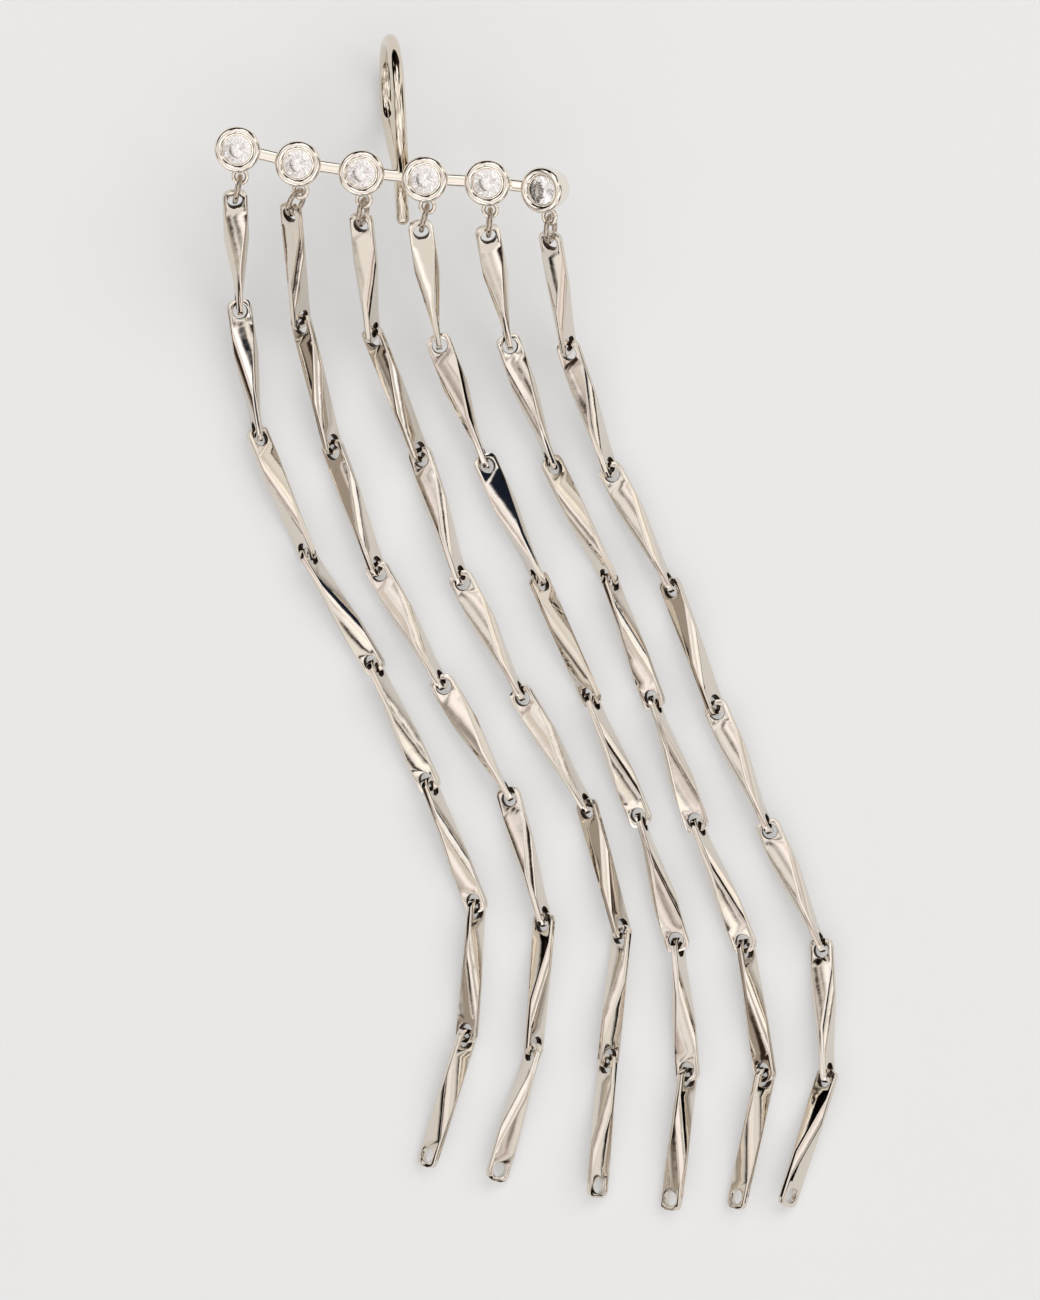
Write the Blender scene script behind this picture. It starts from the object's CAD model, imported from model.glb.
# %% [markdown]
# # An ear climber with strands of twisted bar links
#
# The real piece is fashion jewellery: a row of small bezels joined by short bars, a bent
# wire that goes through the ear, and long strands of cut bar links. It lies on a pale table
# and is seen from straight above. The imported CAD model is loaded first, and every piece
# below is made in its frame, in metres, so nothing has to be fitted afterwards. The camera
# comes first, then the finishes and the pieces, and last the studio that they mirror.

# %% Load the frame
import math

import bmesh
import bpy
from mathutils import Matrix, Vector


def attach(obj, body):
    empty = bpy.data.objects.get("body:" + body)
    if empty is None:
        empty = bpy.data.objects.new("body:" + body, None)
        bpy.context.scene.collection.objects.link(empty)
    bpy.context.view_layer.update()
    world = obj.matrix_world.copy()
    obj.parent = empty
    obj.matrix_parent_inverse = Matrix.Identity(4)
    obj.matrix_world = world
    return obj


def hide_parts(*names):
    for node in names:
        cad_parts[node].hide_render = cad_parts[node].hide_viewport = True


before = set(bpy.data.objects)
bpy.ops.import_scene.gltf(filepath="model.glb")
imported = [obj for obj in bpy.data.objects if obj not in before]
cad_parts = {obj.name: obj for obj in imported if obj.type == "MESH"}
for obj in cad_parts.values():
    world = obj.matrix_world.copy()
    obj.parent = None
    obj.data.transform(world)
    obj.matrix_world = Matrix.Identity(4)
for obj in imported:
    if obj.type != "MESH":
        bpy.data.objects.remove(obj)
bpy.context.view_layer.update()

MM = 0.001
STRANDS = 6


def mm(x, y, z):
    """A point given in millimetres, in metres."""
    return Vector((x, y, z)) * MM


# %% [markdown]
# ## Small helpers
#
# A new piece starts as a bmesh and ends as an object at the origin. Polished metal needs two
# things from its mesh: broad facets that stay flat, so that each one mirrors one tone, and
# edges with a narrow rounding, because the light catches there. A Bevel modifier with
# hardened normals gives both.

# %% Helpers for pieces
EDGE_STEPS = 2
# Corners of a mesh that lie closer than this are one corner
SAME_CORNER = 0.0005 * MM


def piece_from(bm, name, smooth=True):
    """Turns a bmesh into an object at the origin."""
    mesh = bpy.data.meshes.new(name)
    for face in bm.faces:
        face.smooth = smooth
    bm.to_mesh(mesh)
    bm.free()
    piece = bpy.data.objects.new(name, mesh)
    bpy.context.scene.collection.objects.link(piece)
    return piece


def soften_edges(piece, width, sharper_than=20):
    """Rounds the edges sharper than some degrees and keeps the flats between them flat."""
    bevel = piece.modifiers.new("edge rounding", "BEVEL")
    bevel.width = width
    bevel.segments = EDGE_STEPS
    bevel.limit_method = "ANGLE"
    bevel.angle_limit = math.radians(sharper_than)
    bevel.harden_normals = True
    bevel.use_clamp_overlap = True


def give(piece, material, slot, *nodes):
    """Gives a piece its material and record slot, and names the CAD nodes it stands for."""
    piece.data.materials.clear()
    piece.data.materials.append(material)
    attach(piece, "root")
    if nodes:
        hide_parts(*nodes)


print("edges are rounded in", EDGE_STEPS, "steps")

# %% [markdown]
# ## Camera
#
# The photograph looks straight down. A long lens from 0.7 m keeps the row, which stands
# 9 mm above the table, almost the same size as the strands that lie on it. The photograph
# shows 12.2 pixels to a millimetre, which gives the height of the view.

# %% Camera
PIXELS_PER_MM = 12.2
PHOTO_HEIGHT = 1300  # pixels
VIEW_MIDDLE = mm(-0.66, -2.12, 3.0)
CAMERA_DISTANCE = 0.7
VIEW_HEIGHT = PHOTO_HEIGHT / PIXELS_PER_MM * MM
SENSOR_HEIGHT = 24  # millimetres, as in a full-frame camera

camera_data = bpy.data.cameras.new("camera")
camera_data.sensor_fit = "VERTICAL"
camera_data.sensor_height = SENSOR_HEIGHT
camera_data.lens = SENSOR_HEIGHT * CAMERA_DISTANCE / VIEW_HEIGHT
camera_data.clip_start = 0.01
camera_data.clip_end = 10
camera = bpy.data.objects.new("camera", camera_data)
camera.location = VIEW_MIDDLE + Vector((0, 0, CAMERA_DISTANCE))
bpy.context.scene.collection.objects.link(camera)
bpy.context.scene.camera = camera
bpy.context.scene.view_settings.view_transform = "Standard"
print("lens", round(camera_data.lens, 1), "mm")


# %% [markdown]
# ## Node and colour helpers
#
# Colours are written as sRGB hex values, as a colour picker shows them, and one function
# turns them into the linear values that shaders use. One function adds a node, sets it and
# links it.

# %% Colour and node helpers
def linear(code):
    """An sRGB hex colour as linear RGBA."""
    def channel(value):
        return value / 12.92 if value <= 0.04045 else ((value + 0.055) / 1.055) ** 2.4

    parts = [int(code[i:i + 2], 16) / 255 for i in (1, 3, 5)]
    return (*[channel(value) for value in parts], 1.0)


def add_node(tree, kind, settings=None, inputs=None, **links):
    """Adds a node: its settings, its socket values, and links from other nodes' outputs."""
    node = tree.nodes.new(kind)
    for key, value in (settings or {}).items():
        setattr(node, key, value)
    for key, value in (inputs or {}).items():
        node.inputs[key].default_value = value
    for key, output in links.items():
        tree.links.new(output, node.inputs[int(key[1:])])
    return node


def new_material(name):
    """A material with an empty node tree."""
    material = bpy.data.materials.new(name)
    material.use_nodes = True
    material.node_tree.nodes.clear()
    return material, material.node_tree


print("mid grey is", round(linear("#808080")[0], 3), "in linear light")

# %% [markdown]
# ## Polished rhodium plate
#
# Rhodium is plated over polished brass: a hard white metal mirror with a slightly warm
# cast. The facets were ground and buffed by hand, so they aren't perfectly flat: a faint
# waviness of about 2 mm bends what they mirror, and a finer haze of buffing lines takes the
# last sharpness off. The ground links, the buffed row, the drawn wire and the tumbled rings
# each came out a little different, and no buff reached into the drilled eyes, so they are
# dark and dull inside. Metallic stays at 1 and the IOR at its default.

# %% Rhodium plate
RHODIUM = "#E2DACF"
BUFFING_WAVE_MM = 2.2
BUFFING_HAZE_MM = 0.35
BUFFING_HAZE_HEIGHT_MM = 0.0025


def mirror_metal(name, colour, wave_height, roughness):
    """Mirror metal with waves of the given height in millimetres and a hazy polish."""
    material, tree = new_material(name)
    place = add_node(tree, "ShaderNodeTexCoord")
    wave = add_node(
        tree, "ShaderNodeTexNoise", None,
        {"Scale": 1 / (BUFFING_WAVE_MM * MM), "Detail": 1.5, "Roughness": 0.45},
        _0=place.outputs["Object"],
    )
    haze = add_node(
        tree, "ShaderNodeTexNoise", None,
        {"Scale": 1 / (BUFFING_HAZE_MM * MM), "Detail": 3.0, "Roughness": 0.6},
        _0=place.outputs["Object"],
    )
    # Most of the haze lies between 0.3 and 0.7. Over that range the polish goes from a
    # third finer than its mean to half coarser.
    rough = add_node(
        tree, "ShaderNodeMapRange", None,
        {
            "From Min": 0.3, "From Max": 0.7,
            "To Min": roughness * 0.7, "To Max": roughness * 1.5,
        },
        _0=haze.outputs["Fac"],
    )
    wavy = add_node(
        tree, "ShaderNodeBump", None, {"Strength": 1.0, "Distance": wave_height * MM},
        _3=wave.outputs["Fac"],
    )
    fine = add_node(
        tree, "ShaderNodeBump", None,
        {"Strength": 1.0, "Distance": BUFFING_HAZE_HEIGHT_MM * MM},
        _3=haze.outputs["Fac"], _4=wavy.outputs["Normal"],
    )
    metal = add_node(
        tree, "ShaderNodeBsdfPrincipled", None,
        {"Base Color": linear(colour), "Metallic": 1.0},
    )
    tree.links.new(rough.outputs["Result"], metal.inputs["Roughness"])
    tree.links.new(fine.outputs["Normal"], metal.inputs["Normal"])
    add_node(tree, "ShaderNodeOutputMaterial", None, None, _0=metal.outputs["BSDF"])
    return material


link_metal = mirror_metal(
    "rhodium plate, ground facets", RHODIUM, wave_height=0.028, roughness=0.055
)
row_metal = mirror_metal(
    "rhodium plate, buffed round", "#F3ECE1", wave_height=0.012, roughness=0.05
)
wire_metal = mirror_metal(
    "rhodium plate, drawn wire", "#E3D9CA", wave_height=0.03, roughness=0.07
)
ring_metal = mirror_metal(
    "rhodium plate, tumbled wire", "#BFB3A5", wave_height=0.03, roughness=0.07
)
bore_metal = mirror_metal(
    "rhodium plate, dull inside the drilled eyes", "#453A31", wave_height=0.01, roughness=0.34
)
for metal in (link_metal, row_metal, wire_metal, ring_metal, bore_metal):
    print("finish:", metal.name)

# %% [markdown]
# ## Strands
#
# Each link was sawn from square wire and cut to a thin plate at both ends, the two plates a
# quarter turn apart, so broad slanting facets are left between them. That shape is exact in
# the CAD model, so each strand is a copy of its node's mesh. The copy is merged, its flat
# triangles are dissolved into whole facets, and the edges get a rounding of 0.05 mm. The
# eyes that hold another link get the dull finish on their walls, because the joints are the
# dark spots in the photograph. The last eye of a strand holds nothing and stays bright.

# %% Strands
LINK_EDGE = 0.05 * MM
# Facets that differ by less than this many degrees are one flat facet
FLAT_WITHIN = 0.6
# How much of a strand its last eye takes up
EYE_LENGTH = 2.5 * MM
# An eye's wall is a ring of narrow faces, and each turns in by a few degrees from the last
WALL_TURN = (4, 25)
WALL_FACE_AREA = 0.1 * MM ** 2


def from_node(node, name):
    """A copy of a CAD node's mesh with merged corners and whole flat facets."""
    bm = bmesh.new()
    bm.from_mesh(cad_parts[node].data)
    bmesh.ops.remove_doubles(bm, verts=bm.verts, dist=SAME_CORNER)
    bmesh.ops.dissolve_limit(
        bm, angle_limit=math.radians(FLAT_WITHIN), verts=bm.verts, edges=bm.edges
    )
    return piece_from(bm, name)


def darken_bores(piece):
    """Gives the walls of the eyes that hold another link their own material."""
    bm = bmesh.new()
    bm.from_mesh(piece.data)
    walls = set()
    free_end = min(vert.co.y for vert in bm.verts) + EYE_LENGTH
    for edge in bm.edges:
        if not edge.is_manifold:
            continue
        inwards = -math.degrees(edge.calc_face_angle_signed())
        if WALL_TURN[0] < inwards < WALL_TURN[1]:
            walls |= {
                face for face in edge.link_faces
                if face.calc_area() < WALL_FACE_AREA
                and face.calc_center_median().y > free_end
            }
    for face in walls:
        face.material_index = 1
    bm.to_mesh(piece.data)
    bm.free()
    return len(walls)


for number in range(1, STRANDS + 1):
    strand = from_node(f"strand_{number}", f"bar_link_strand_{number}")
    soften_edges(strand, LINK_EDGE)
    give(strand, link_metal, "polished_metal", f"strand_{number}")
    strand.data.materials.append(bore_metal)
    walls = darken_bores(strand)
    print(strand.name, len(strand.data.polygons), "faces,", walls, "in the eyes")

# %% [markdown]
# ## Bezels
#
# A bezel is a turned cup with a thick rounded rim and a thin lip inside it, pressed over
# the stone's edge. A turned part is a spin: its half profile is a row of points, and
# bmesh.ops.spin takes it round the axis. Each cup is then tipped the way the CAD has it.
# First come the places of the six cups, then the profile that they share.

# %% Where the bezels are
# Middle of each bezel in millimetres, its lean towards -Y and its turn towards +X in degrees
BEZELS = [
    ((-23.47, 38.56, 9.75), 8, -8),
    ((-18.57, 37.41, 9.60), 8, -8),
    ((-13.42, 36.66, 9.55), 8, -8),
    ((-8.27, 36.16, 9.60), 8, -9),
    ((-3.17, 35.86, 9.60), 8, -10),
    ((1.48, 35.26, 10.10), 8, -29),
]


def bezel_matrix(number):
    """Takes a shape round the origin to its place in the row."""
    middle, lean, turn = BEZELS[number]
    return (
        Matrix.Translation(mm(*middle))
        @ Matrix.Rotation(math.radians(turn), 4, "Y")
        @ Matrix.Rotation(math.radians(lean), 4, "X")
    )


ROW_LENGTH = (Vector(BEZELS[-1][0]) - Vector(BEZELS[0][0])).length
print(len(BEZELS), "bezels in a row of", round(ROW_LENGTH, 1), "mm")

# %% A bezel's profile
SPIN_STEPS = 96
RIM_MIDDLE = (1.555, 0.795)
RIM_RADIUS = 0.345


def arc(middle, radius, start, end, steps):
    """Points of an arc in a profile, in millimetres and degrees."""
    angles = [math.radians(start + (end - start) * i / steps) for i in range(steps + 1)]
    return [
        (middle[0] + radius * math.cos(a), middle[1] + radius * math.sin(a)) for a in angles
    ]


def spin_profile(bm, points):
    """Turns a half profile of (radius, height) points in millimetres round Z."""
    verts = [bm.verts.new(mm(radius, 0, height)) for radius, height in points]
    edges = [bm.edges.new(pair) for pair in zip(verts, verts[1:])]
    bmesh.ops.spin(
        bm, geom=verts + edges, cent=(0, 0, 0), axis=(0, 0, 1), dvec=(0, 0, 0),
        angle=2 * math.pi, steps=SPIN_STEPS, use_merge=True, use_duplicate=False,
    )


# From the middle of the back, up the outside, over the rim and down to the stone's seat
BACK = [(0, -1.15), (1.30, -1.15)]
BACK_CORNER = arc((1.36, -0.90), 0.25, -80, -10, 4)
WALL = [(1.885, 0.70)]
RIM = arc(RIM_MIDDLE, RIM_RADIUS, -6, 178, 16)
LIP = [(1.205, 0.86), (1.175, 0.875), (1.145, 0.86), (1.135, 0.82), (1.15, 0.76)]
SEAT = [(1.33, 0.68), (1.33, 0.49), (0.35, -0.59), (0, -0.59)]
BEZEL_PROFILE = BACK + BACK_CORNER + WALL + RIM + LIP + SEAT
print(len(BEZEL_PROFILE), "points in a bezel's profile")

# %% Make the bezels
ROW_EDGE = 0.02 * MM
# The round parts of the row turn by less than this from face to face and stay as they are
ROW_SHARP = 35

row = bmesh.new()
for number in range(STRANDS):
    cup = bmesh.new()
    spin_profile(cup, BEZEL_PROFILE)
    bmesh.ops.remove_doubles(cup, verts=cup.verts, dist=SAME_CORNER)
    bmesh.ops.recalc_face_normals(cup, faces=cup.faces)
    bmesh.ops.transform(cup, matrix=bezel_matrix(number), verts=cup.verts)
    scratch = bpy.data.meshes.new("cup")
    cup.to_mesh(scratch)
    cup.free()
    row.from_mesh(scratch)
    bpy.data.meshes.remove(scratch)
bezels = piece_from(row, "bezel_cups")
soften_edges(bezels, ROW_EDGE, ROW_SHARP)
give(bezels, row_metal, "polished_metal", "climber_frame")
print("bezels", len(bezels.data.polygons), "faces")

# %% [markdown]
# ## Bars between the bezels
#
# The bezels are joined by short flat bars, a little lower than the bezels' middles. Each
# bar is a cube stretched from one cup's wall to the next one's, with its long edges rounded
# by a bevel, as a drawn flat wire has them. The solder joint inside the wall isn't seen, so
# the bar just ends there, short of the stone's seat.

# %% Bars
BAR_WIDTH = 1.0
BAR_THICKNESS = 0.9
# Height of a bar's middle against the bezels' middles
BAR_LEVEL = -0.25
# How far from a bezel's middle a bar ends, inside the cup's wall
BAR_START = 1.55
BAR_ROUNDING = 0.28
BAR_ROUNDING_STEPS = 4

bars = bmesh.new()
for (start, _, _), (end, _, _) in zip(BEZELS, BEZELS[1:]):
    run = Vector(end) - Vector(start)
    flat = math.atan2(run.y, run.x)
    slope = -math.asin(run.z / run.length)
    length = run.length - 2 * BAR_START
    made = bmesh.ops.create_cube(bars, size=1)["verts"]
    bmesh.ops.scale(bars, vec=mm(length, BAR_WIDTH, BAR_THICKNESS), verts=made)
    bmesh.ops.translate(bars, vec=mm(run.length / 2, 0, BAR_LEVEL), verts=made)
    turned = Matrix.Rotation(flat, 4, "Z") @ Matrix.Rotation(slope, 4, "Y")
    bmesh.ops.transform(bars, matrix=Matrix.Translation(mm(*start)) @ turned, verts=made)
    # Only the four edges along the bar are about as long as the bar
    long_edges = [
        edge for edge in {edge for vert in made for edge in vert.link_edges}
        if edge.calc_length() > length * MM * 0.9
    ]
    bmesh.ops.bevel(
        bars, geom=long_edges, offset=BAR_ROUNDING * MM, segments=BAR_ROUNDING_STEPS,
        profile=0.5, affect="EDGES", material=-1,
    )
bar_row = piece_from(bars, "bezel_bars")
soften_edges(bar_row, ROW_EDGE, ROW_SHARP)
give(bar_row, row_metal, "polished_metal", "climber_frame")
print("bars", len(bar_row.data.polygons), "faces")

# %% [markdown]
# ## Drop loops and jump rings
#
# Both are closed rings of round wire. A loop is soldered under each bezel, and a jump ring
# joins it to the strand. A closed ring of wire is a small circle spun once round, and the
# loops are made that way. The CAD model's jump rings are such rings already, so they are
# copied as the strands are.

# %% Drop loops
LOOP_MIDDLE = (0, -2.25, BAR_LEVEL)
LOOP_RADIUS = 0.57
LOOP_WIRE = 0.36
LOOP_STEPS = 64
LOOP_SIDES = 20


def wire_ring(bm, radius, wire, matrix):
    """A closed ring of round wire round Z, sizes in millimetres."""
    made = bmesh.ops.create_circle(
        bm, segments=LOOP_SIDES, radius=wire / 2 * MM, cap_ends=False
    )["verts"]
    bmesh.ops.rotate(
        bm, verts=made, cent=(0, 0, 0), matrix=Matrix.Rotation(math.pi / 2, 3, "X")
    )
    bmesh.ops.translate(bm, verts=made, vec=mm(radius, 0, 0))
    edges = list({edge for vert in made for edge in vert.link_edges})
    before = set(bm.verts) - set(made)
    bmesh.ops.spin(
        bm, geom=made + edges, cent=(0, 0, 0), axis=(0, 0, 1), dvec=(0, 0, 0),
        angle=2 * math.pi, steps=LOOP_STEPS, use_merge=True, use_duplicate=False,
    )
    ring = [vert for vert in bm.verts if vert not in before]
    bmesh.ops.transform(bm, matrix=matrix, verts=ring)


loops = bmesh.new()
for number in range(STRANDS):
    wire_ring(
        loops, LOOP_RADIUS, LOOP_WIRE,
        bezel_matrix(number) @ Matrix.Translation(mm(*LOOP_MIDDLE)),
    )
bmesh.ops.recalc_face_normals(loops, faces=loops.faces)
drop_loops = piece_from(loops, "drop_loops")
give(drop_loops, row_metal, "polished_metal", "climber_frame")
print("drop loops", len(drop_loops.data.polygons), "faces")

# %% Jump rings
for number in range(1, STRANDS + 1):
    ring = from_node(f"jump_ring_{number}", f"jump_ring_wire_{number}")
    give(ring, ring_metal, "polished_metal", f"jump_ring_{number}")
    print(ring.name, len(ring.data.polygons), "faces")

# %% [markdown]
# ## Ear hook
#
# The hook is one round wire. It is soldered to the row, goes through the ear and comes down
# behind it in a slightly bent tail, whose end is domed so that it slips through. It is made
# as it was bent: a circle of edges is extruded along each straight run and spun through
# each bend, like wire round a mandrel.

# %% The hook's sizes
# Where the hook starts on the row, in millimetres, and how it stands there, in degrees
HOOK_BASE = (-10.21, 36.63, 9.335)
HOOK_TURN = 7
HOOK_LEAN = 3
HOOK_WIRE = 1.1
FRONT_LEG = 6.68
TOP_BEND = 4.425
# The wire comes back towards the ear at a slope of 4 to 3
LEAN_IN = math.degrees(math.atan2(4, 3))
BACK_BEND = 3.0
BACK_RUN = 6.0
TAIL_BEND = 3.5
TAIL_RUN = 1.5

# Straight runs in millimetres and bends of (radius, degrees), in order from the row. A
# positive bend turns towards the back, a negative one towards the front.
HOOK_PATH = [
    FRONT_LEG, (TOP_BEND, 180), (BACK_BEND, LEAN_IN), BACK_RUN,
    (TAIL_BEND, -LEAN_IN), TAIL_RUN,
]
print(len(HOOK_PATH), "runs and bends of wire")

# %% Bending a wire
HOOK_SIDES = 32
DEGREES_PER_STEP = 4
DOME_STEPS = 6
# The dome's last circle shrinks to this share of the wire, which the merge then closes
DOME_TIP = 0.001
TIP_MERGE = 0.002 * MM
ON_THE_RIM = 0.01 * MM


def bent_wire(bm, path, wire):
    """Bends a wire in the XZ plane, from the origin upwards, and rounds off its end."""
    bmesh.ops.create_circle(bm, segments=HOOK_SIDES, radius=wire / 2 * MM, cap_ends=True)
    edges = bm.edges[:]
    place = Vector((0, 0, 0))
    heading = 0.0
    for step in path:
        ahead = Vector((-math.sin(heading), 0, math.cos(heading)))
        if isinstance(step, tuple):
            radius, angle = step[0], math.radians(step[1])
            side = 1 if angle > 0 else -1
            centre = place + Vector((-ahead.z, 0, ahead.x)) * radius * side * MM
            spun = bmesh.ops.spin(
                bm, geom=edges, cent=centre, axis=(0, -1, 0), dvec=(0, 0, 0),
                angle=angle, steps=int(abs(step[1]) / DEGREES_PER_STEP),
                use_merge=False, use_duplicate=False,
            )
            last = spun["geom_last"]
            place = centre + Matrix.Rotation(-angle, 3, "Y") @ (place - centre)
            heading += angle
        else:
            made = bmesh.ops.extrude_edge_only(bm, edges=edges)["geom"]
            moved = [item for item in made if isinstance(item, bmesh.types.BMVert)]
            bmesh.ops.translate(bm, verts=moved, vec=ahead * step * MM)
            last = made
            place = place + ahead * step * MM
        # The wire's new end is the circle of edges round the place that was reached
        edges = [item for item in last if isinstance(item, bmesh.types.BMEdge)
                 and all(abs((v.co - place).length - wire / 2 * MM) < ON_THE_RIM
                         for v in item.verts)]
    # The round end is a dome of ever smaller circles
    ahead = Vector((-math.sin(heading), 0, math.cos(heading)))
    for i in range(1, DOME_STEPS + 1):
        angle, before = (math.pi / 2 * k / DOME_STEPS for k in (i, i - 1))
        made = bmesh.ops.extrude_edge_only(bm, edges=edges)["geom"]
        moved = [item for item in made if isinstance(item, bmesh.types.BMVert)]
        rise = (math.sin(angle) - math.sin(before)) * wire / 2 * MM
        bmesh.ops.translate(bm, verts=moved, vec=ahead * rise)
        place = place + ahead * rise
        shrink = max(math.cos(angle), DOME_TIP) / math.cos(before)
        for vert in moved:
            vert.co = place + (vert.co - place) * shrink
        edges = [item for item in made if isinstance(item, bmesh.types.BMEdge)
                 and all(vert in moved for vert in item.verts)]
    bmesh.ops.remove_doubles(bm, verts=bm.verts, dist=TIP_MERGE)


hook = bmesh.new()
bent_wire(hook, HOOK_PATH, HOOK_WIRE)
bmesh.ops.recalc_face_normals(hook, faces=hook.faces)
print("bent wire of", len(hook.verts), "corners")

# %% Stand the hook on the row
# The two turns by 90 degrees point the front leg away from the strands and the bends down
# to the table
hook_place = (
    Matrix.Translation(mm(*HOOK_BASE))
    @ Matrix.Rotation(math.radians(HOOK_LEAN), 4, "Z")
    @ Matrix.Rotation(math.radians(HOOK_TURN), 4, "Y")
    @ Matrix.Rotation(math.radians(-90), 4, "X")
    @ Matrix.Rotation(math.radians(-90), 4, "Z")
)
bmesh.ops.transform(hook, matrix=hook_place, verts=hook.verts)
ear_hook = piece_from(hook, "ear_hook_wire")
give(ear_hook, wire_metal, "polished_metal", "climber_frame")
print("ear hook", len(ear_hook.data.polygons), "faces")

# %% [markdown]
# ## Stones
#
# The stones are colourless cubic zirconia in a round brilliant cut. A cutter grinds one
# flat facet after another on a round blank, and the mesh is made the same way: a cylinder
# is cut by a plane for each facet, with bmesh.ops.bisect_plane, and each cut is closed. The
# angles are the ones a brilliant needs to throw the light back up: 34 degrees for the
# crown's main facets and 41 degrees for the pavilion's. A stone in a closed cup gets no
# light from behind, so stones for such cups are backed with silver foil, and the pavilion's
# facets get that as a second material. That is why they look white in the photograph.

# %% Stone material
# Zirconia's index is about 2.17. A render follows only a few of the many inner reflections
# that this gives and turns the stone grey, so a lower index stands in for it.
ZIRCONIA_IOR = 1.45
POLISH_PATCH_MM = 0.8
POLISH_DULLEST = 0.03


def zirconia(name):
    """Clear stone, polished nearly evenly."""
    material, tree = new_material(name)
    place = add_node(tree, "ShaderNodeTexCoord")
    cloud = add_node(
        tree, "ShaderNodeTexNoise", None,
        {"Scale": 1 / (POLISH_PATCH_MM * MM), "Detail": 2.0},
        _0=place.outputs["Object"],
    )
    polish = add_node(
        tree, "ShaderNodeMapRange", None, {"To Min": 0.0, "To Max": POLISH_DULLEST},
        _0=cloud.outputs["Fac"],
    )
    glass = add_node(
        tree, "ShaderNodeBsdfPrincipled", None,
        {
            "Base Color": linear("#FEFEFE"), "Transmission Weight": 1.0,
            "IOR": ZIRCONIA_IOR, "Metallic": 0.0,
        },
    )
    tree.links.new(polish.outputs["Result"], glass.inputs["Roughness"])
    add_node(tree, "ShaderNodeOutputMaterial", None, None, _0=glass.outputs["BSDF"])
    return material


stone_material = zirconia("cubic zirconia, cut and polished")
foil = mirror_metal(
    "silver foil behind the stone", "#FAF9F8", wave_height=0.0, roughness=0.12
)
print("finishes:", stone_material.name, "and", foil.name)

# %% The facets of a brilliant
STONE_RADIUS = 1.25
GIRDLE_BOTTOM = 0.55
GIRDLE_TOP = 0.61
TABLE_LEVEL = 0.97
TABLE_RADIUS = 0.72
# Tilts from level in degrees
CROWN_TILT = 34.2
UPPER_GIRDLE_TILT = 40.0
STAR_TILT = 21.0
PAVILION_TILT = 41.0
LOWER_GIRDLE_TILT = 42.2
# The upper girdle facets touch the girdle a hair low. The lower ones touch it a little high,
# which lets them reach three quarters of the way down to the stone's tip.
UPPER_GIRDLE_DROP = 0.005
LOWER_GIRDLE_LIFT = 0.03
EIGHTH = 45.0
STAR_RADIUS = TABLE_RADIUS * math.cos(math.radians(EIGHTH / 2))

# Sets of facets: tilt from level, first azimuth, azimuth step, and a point (radius, height)
# in millimetres that each facet's plane goes through at its own azimuth. A facet below the
# girdle faces down, so its tilt is counted back from 180 degrees.
FACETS = [
    (0.0, 0.0, 360.0, (0.0, TABLE_LEVEL)),
    (CROWN_TILT, 0.0, EIGHTH, (STONE_RADIUS, GIRDLE_TOP)),
    (
        UPPER_GIRDLE_TILT, EIGHTH / 4, EIGHTH / 2,
        (STONE_RADIUS, GIRDLE_TOP - UPPER_GIRDLE_DROP),
    ),
    (STAR_TILT, EIGHTH / 2, EIGHTH, (STAR_RADIUS, TABLE_LEVEL)),
    (180.0 - PAVILION_TILT, 0.0, EIGHTH, (STONE_RADIUS, GIRDLE_BOTTOM)),
    (
        180.0 - LOWER_GIRDLE_TILT, EIGHTH / 4, EIGHTH / 2,
        (STONE_RADIUS, GIRDLE_BOTTOM + LOWER_GIRDLE_LIFT),
    ),
]
print(sum(round(360 / step) for _, _, step, _ in FACETS), "facets on each stone")

# %% Cut the stones
BLANK_SIDES = 80
BLANK_LENGTH = 4.0
ON_THE_PLANE = 0.0001 * MM
# Each stone was set a little further round than the one before
STONE_TURN = 17
# The foil covers the facets that face down by more than this
FOIL_BELOW = -0.2


def grind(bm, tilt, azimuth, touch):
    """Cuts one flat facet and closes the cut."""
    a, b = math.radians(tilt), math.radians(azimuth)
    outward = Vector((math.sin(a) * math.cos(b), math.sin(a) * math.sin(b), math.cos(a)))
    point = mm(touch[0] * math.cos(b), touch[0] * math.sin(b), touch[1])
    cut = bmesh.ops.bisect_plane(
        bm, geom=bm.verts[:] + bm.edges[:] + bm.faces[:], dist=ON_THE_PLANE,
        plane_co=point, plane_no=outward, clear_outer=True,
    )["geom_cut"]
    rim = [item for item in cut if isinstance(item, bmesh.types.BMEdge)]
    if len(rim) > 2:
        bmesh.ops.contextual_create(bm, geom=rim)


for number in range(STRANDS):
    stone = bmesh.new()
    bmesh.ops.create_cone(
        stone, cap_ends=True, cap_tris=False, segments=BLANK_SIDES,
        radius1=STONE_RADIUS * MM, radius2=STONE_RADIUS * MM, depth=BLANK_LENGTH * MM,
    )
    for tilt, first, step, touch in FACETS:
        for i in range(round(360 / step)):
            grind(stone, tilt, first + i * step, touch)
    bmesh.ops.remove_doubles(stone, verts=stone.verts, dist=SAME_CORNER)
    bmesh.ops.recalc_face_normals(stone, faces=stone.faces)
    turned = Matrix.Rotation(math.radians(STONE_TURN * number), 4, "Z")
    bmesh.ops.transform(stone, matrix=bezel_matrix(number) @ turned, verts=stone.verts)
    open_edges = sum(1 for edge in stone.edges if not edge.is_manifold)
    cut = piece_from(stone, f"brilliant_{number + 1}", smooth=False)
    give(cut, stone_material, "clear_stone", f"stone_{number + 1}")
    cut.data.materials.append(foil)
    upward = bezel_matrix(number).to_3x3() @ Vector((0, 0, 1))
    for face in cut.data.polygons:
        face.material_index = 1 if face.normal.dot(upward) < FOIL_BELOW else 0
    print(cut.name, len(cut.data.polygons), "faces,", open_edges, "open edges")

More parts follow.
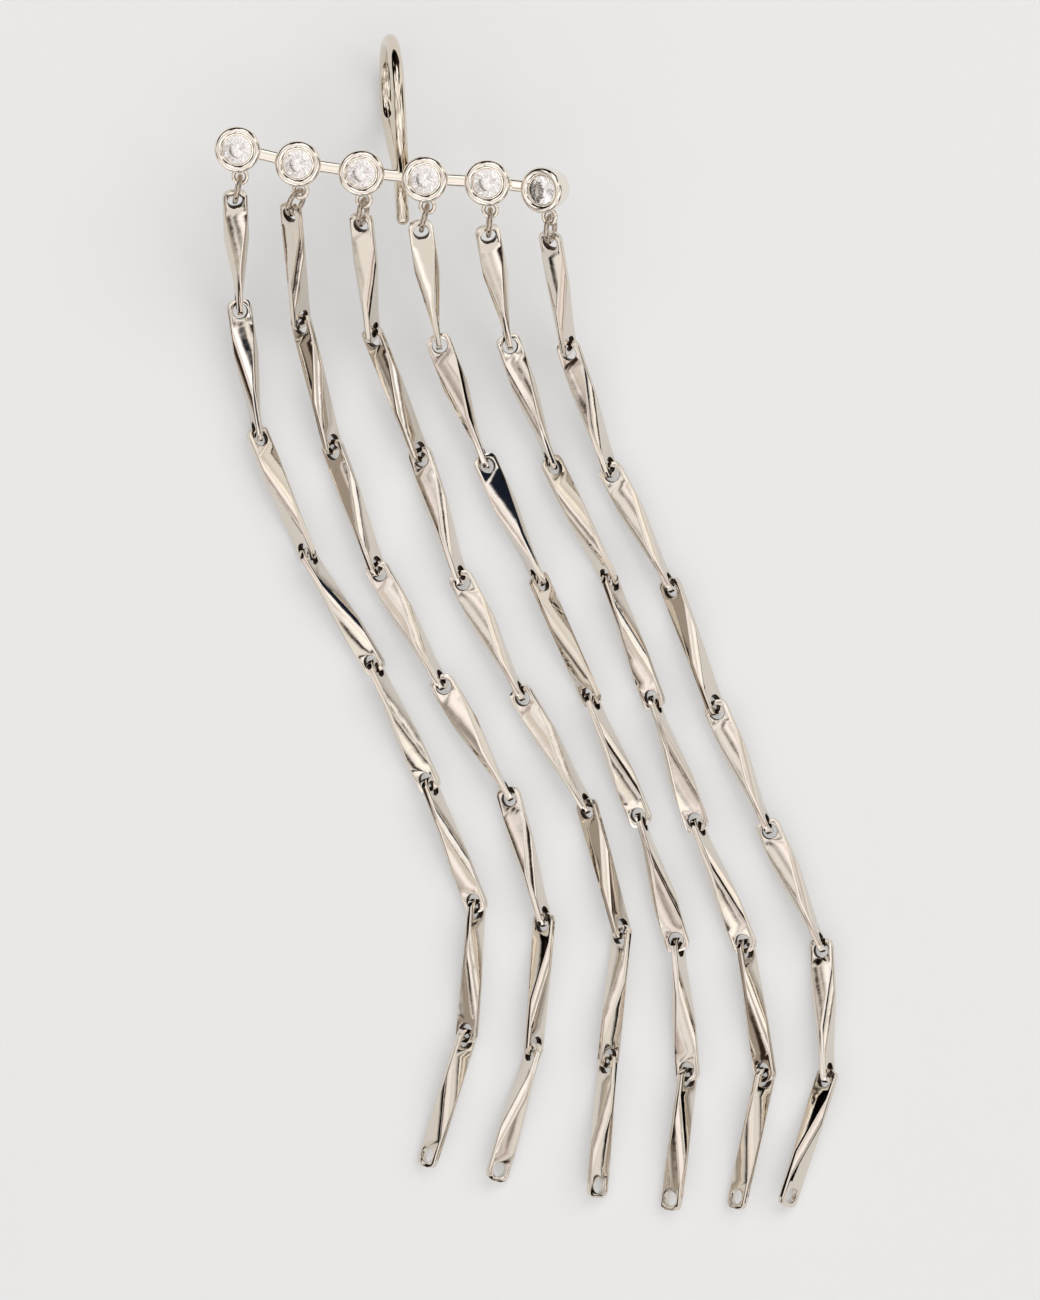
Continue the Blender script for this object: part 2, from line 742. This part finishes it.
# %% [markdown]
# ## Table top
#
# A plain sheet of opal acrylic, lit a little from below. The photograph's shadows are
# hardly darker than the table, which is what such a light table does. Its face is matt,
# with a fine grain, so it mirrors nothing. It is part of the studio, not of the jewel, so
# it is declared as stage.

# %% Floor
TABLE_HALF = 1.5  # metres
OPAL = "#C6C7C7"
LIT_FROM_BELOW = 0.25
GRAIN_MM = 0.3
GRAIN_HEIGHT_MM = 0.01

sheet = bmesh.new()
bmesh.ops.create_grid(sheet, x_segments=1, y_segments=1, size=TABLE_HALF)
floor = piece_from(sheet, "table_top", smooth=False)
acrylic, tree = new_material("opal acrylic, lit from below")
place = add_node(tree, "ShaderNodeTexCoord")
grain = add_node(
    tree, "ShaderNodeTexNoise", None, {"Scale": 1 / (GRAIN_MM * MM), "Detail": 2.0},
    _0=place.outputs["Object"],
)
matt = add_node(
    tree, "ShaderNodeBump", None, {"Strength": 0.15, "Distance": GRAIN_HEIGHT_MM * MM},
    _3=grain.outputs["Fac"],
)
sheet_shader = add_node(
    tree, "ShaderNodeBsdfPrincipled", None,
    {
        "Base Color": linear(OPAL), "Roughness": 0.9, "Specular IOR Level": 0.2,
        "Emission Color": linear("#FFFFFF"), "Emission Strength": LIT_FROM_BELOW,
    },
)
tree.links.new(matt.outputs["Normal"], sheet_shader.inputs["Normal"])
add_node(tree, "ShaderNodeOutputMaterial", None, None, _0=sheet_shader.outputs["BSDF"])
floor.data.materials.append(acrylic)
print("table top", 2 * TABLE_HALF, "m wide, part of the studio")

# %% [markdown]
# ## Studio light
#
# Mirror metal shows its surroundings, so the studio is most of its colour. A white tent
# gives the cream facets, and a brown darkness low round the horizon gives the taupe and
# dark ones. Boards, flags, lamps, a doorway and two windows give some facets a tone of
# their own. Nobody can see the real studio, so this one is a guess from the tones that the
# facets mirror in the photograph. It is painted on the world's sky, which has no mesh that
# could get in the view and lights the piece from all sides.

# %% The tent's cloth
# Height of the direction (-1 down, 1 up, as 0 to 1) and colour of the tent there
TENT = [
    (0.50, "#3A322C"), (0.58, "#625A53"), (0.64, "#A59F99"), (0.72, "#D4D1CE"),
    (0.82, "#EDEEF1"), (1.00, "#E8E9EC"),
]
# How open the tent is and what its folds leave of the light
SHADE = [
    (0.43, "#0C0907"), (0.465, "#453C35"), (0.50, "#A9A5A1"), (0.565, "#DADADA"),
    (0.62, "#E4E4E4"), (0.72, "#FFFFFF"),
]
# The tent's cloth isn't one colour: parts of it are creamier, others pinker
TINTS = [(0.40, "#FEFBF5"), (0.50, "#FAFBFC"), (0.60, "#FEF7F6")]
# The tints change more slowly than the folds
TINT_SCALE = 2.1
# The tent's top leans a little to the front and to the left
TENT_TOP = (-0.04, -0.18, 1.0)
# Which of all possible folds, how many, and how fine and how crooked they are
FOLDS = {"W": 137.0, "Scale": 3.4, "Detail": 1.0, "Roughness": 0.5, "Distortion": 0.5}
# How much the folds open with the height, and how closed they are at the horizon
OPEN_UPWARDS = 0.30
CLOSED_LOW = -0.175
TENT_STRENGTH = 2.14
print("cloth of", len(TENT), "heights,", len(SHADE), "shades and", len(TINTS), "tints")

# %% What stands in the tent
# Angle from straight up, azimuth, radius and softness of the edge in degrees, and colour.
# The ceiling only dims the cloth there, and everything else hides it.
CEILING = (24, 191, 30, 8.0, "#E3E1DF")
STUDIO = [
    # Pale grey boards
    (80, 30, 16, 4.0, "#B1AFAC"), (42, 24, 8, 4.0, "#C8C6C3"), (12, 60, 10, 4.0, "#ADABA8"),
    (72, 343, 9, 4.0, "#B1AFAC"), (20, 18, 6, 3.0, "#D0CECB"), (92, 168, 9, 3.0, "#B1AFAC"),
    (72, 227, 11, 4.0, "#B8B6B3"), (50, 279, 13, 4.0, "#B1AFAC"), (20, 309, 5, 3.0, "#9A9793"),
    (15, 356, 4, 2.0, "#8F8C88"), (25, 158, 5, 2.0, "#A9A6A2"), (48, 207, 4, 3.0, "#A8A29C"),
    # Brown flags, which keep the light off
    (72, 195, 12, 3.0, "#7A726A"), (92, 5, 8, 3.0, "#4E463F"), (41, 13, 5, 2.0, "#17110C"),
    (66, 201, 6, 2.0, "#241A13"), (98, 8, 10, 3.0, "#241A13"),
    # Two more boards, which stand in front of the first flag
    (85, 178, 8, 4.0, "#A29F9B"), (86, 214, 8, 3.0, "#A9A6A2"),
    # The camera, straight above
    (0, 0, 6, 3.0, "#BCB9B6"),
    # The lamps' glow on the cloth
    (42, 78, 10, 3.0, "#DDE0E4"), (50, 235, 6, 3.0, "#DDE0E4"), (24, 140, 5, 3.0, "#DDE0E4"),
    (22, 327, 3, 1.5, "#DDE0E4"),
    # A tall dark doorway on the upper right, which blackens that side of each bezel's rim
    (56, 58, 11, 2.0, "#17110C"), (68, 74, 15, 2.0, "#17110C"), (88, 70, 18, 2.0, "#17110C"),
    # Two blue-black windows, which links of two strands mirror
    (38, 46, 11, 2.5, "#10151F"), (30, 341, 6, 2.0, "#10151F"),
]
print(len(STUDIO), "patches in the tent")

# %% [markdown]
# Three helpers paint the sky in layers. One turns a number into a colour, one picks the
# directions close to an aim, and one lays a colour over what is already there.

# %% Helpers for the tent
world = bpy.data.worlds.new("studio tent")
bpy.context.scene.world = world
world.use_nodes = True
tree = world.node_tree
tree.nodes.clear()
way = add_node(tree, "ShaderNodeTexCoord")


def ramp(fac, stops):
    """A colour ramp with the given stops, driven by a node output."""
    node = add_node(tree, "ShaderNodeValToRGB", None, None, _0=fac)
    for position, _ in stops[1:-1]:
        node.color_ramp.elements.new(position)
    for stop, (position, colour) in zip(node.color_ramp.elements, stops):
        stop.position = position
        stop.color = linear(colour)
    return node.outputs["Color"]


def towards(polar, azimuth, radius, soft):
    """1 inside a round patch of the sky round a direction, 0 outside, in degrees."""
    a, b = math.radians(polar), math.radians(azimuth)
    aim = (math.sin(a) * math.cos(b), math.sin(a) * math.sin(b), math.cos(a))
    facing = add_node(
        tree, "ShaderNodeVectorMath", {"operation": "DOT_PRODUCT"}, {1: aim},
        _0=way.outputs["Generated"],
    )
    patch = add_node(
        tree, "ShaderNodeMapRange", {"interpolation_type": "SMOOTHSTEP"},
        {"From Min": math.cos(math.radians(radius + soft)),
         "From Max": math.cos(math.radians(radius - soft))},
        _0=facing.outputs["Value"],
    )
    return patch.outputs["Result"]


def blend(kind, fac, first, second):
    """Mixes two colours; each may be a node output or a colour."""
    node = add_node(tree, "ShaderNodeMix", {"data_type": "RGBA", "blend_type": kind})
    for index, value in ((0, fac), (6, first), (7, second)):
        if isinstance(value, bpy.types.NodeSocket):
            tree.links.new(value, node.inputs[index])
        else:
            node.inputs[index].default_value = value
    return node.outputs[2]


print("empty sky:", world.name)

# %% [markdown]
# The layers go on in this order: the height above the horizon, the folds, the tint of the
# cloth, the ceiling, and then the boards, flags, lamps and openings one by one.

# %% Hang the tent
lifted = add_node(
    tree, "ShaderNodeVectorMath", {"operation": "DOT_PRODUCT"}, {1: TENT_TOP},
    _0=way.outputs["Generated"],
)
height = add_node(
    tree, "ShaderNodeMapRange", None, {"From Min": -1.0, "From Max": 1.0},
    _0=lifted.outputs["Value"],
)
folds = add_node(
    tree, "ShaderNodeTexNoise", {"noise_dimensions": "4D"}, FOLDS,
    _0=way.outputs["Generated"],
)
higher = add_node(
    tree, "ShaderNodeMath", {"operation": "MULTIPLY_ADD"}, {1: OPEN_UPWARDS, 2: CLOSED_LOW},
    _0=lifted.outputs["Value"],
)
openness = add_node(
    tree, "ShaderNodeMath", {"operation": "ADD"}, None,
    _0=folds.outputs["Fac"], _1=higher.outputs["Value"],
)
cloth = add_node(
    tree, "ShaderNodeTexNoise", None, {"Scale": TINT_SCALE, "Detail": 0.0},
    _0=way.outputs["Generated"],
)
tent = ramp(height.outputs["Result"], TENT)
tent = blend("MULTIPLY", 1.0, tent, ramp(openness.outputs["Value"], SHADE))
tent = blend("MULTIPLY", 1.0, tent, ramp(cloth.outputs["Fac"], TINTS))
tent = blend("MULTIPLY", towards(*CEILING[:4]), tent, linear(CEILING[4]))
for polar, azimuth, radius, soft, colour in STUDIO:
    tent = blend("MIX", towards(polar, azimuth, radius, soft), tent, linear(colour))
glow = add_node(
    tree, "ShaderNodeBackground", None, {"Strength": TENT_STRENGTH}, _0=tent
)
add_node(tree, "ShaderNodeOutputWorld", None, None, _0=glow.outputs["Background"])
print("tent painted with", len(tree.nodes), "nodes")

# %% [markdown]
# One large soft light from the upper right gives the faint shadow to the lower left. The
# metal doesn't mirror it, because the lamps' glow on the cloth is already in the sky.

# %% Soft light
KEY_PLACE = Vector((0.8, 0.7, 1.1))
KEY_SIZE = (1.6, 1.2)
KEY_WATTS = 10


def soft_light(name, place, size, watts, colour):
    """A rectangular light that faces the piece."""
    data = bpy.data.lights.new(name, "AREA")
    data.shape = "RECTANGLE"
    data.size, data.size_y = size
    data.energy = watts
    data.color = linear(colour)[:3]
    light = bpy.data.objects.new(name, data)
    light.location = place
    light.rotation_euler = (Vector((0, 0, 0)) - place).to_track_quat("-Z", "Y").to_euler()
    bpy.context.scene.collection.objects.link(light)
    return light


key = soft_light("key softbox", KEY_PLACE, KEY_SIZE, KEY_WATTS, "#FFFEFD")
key.visible_glossy = False
print(key.name, KEY_WATTS, "W")
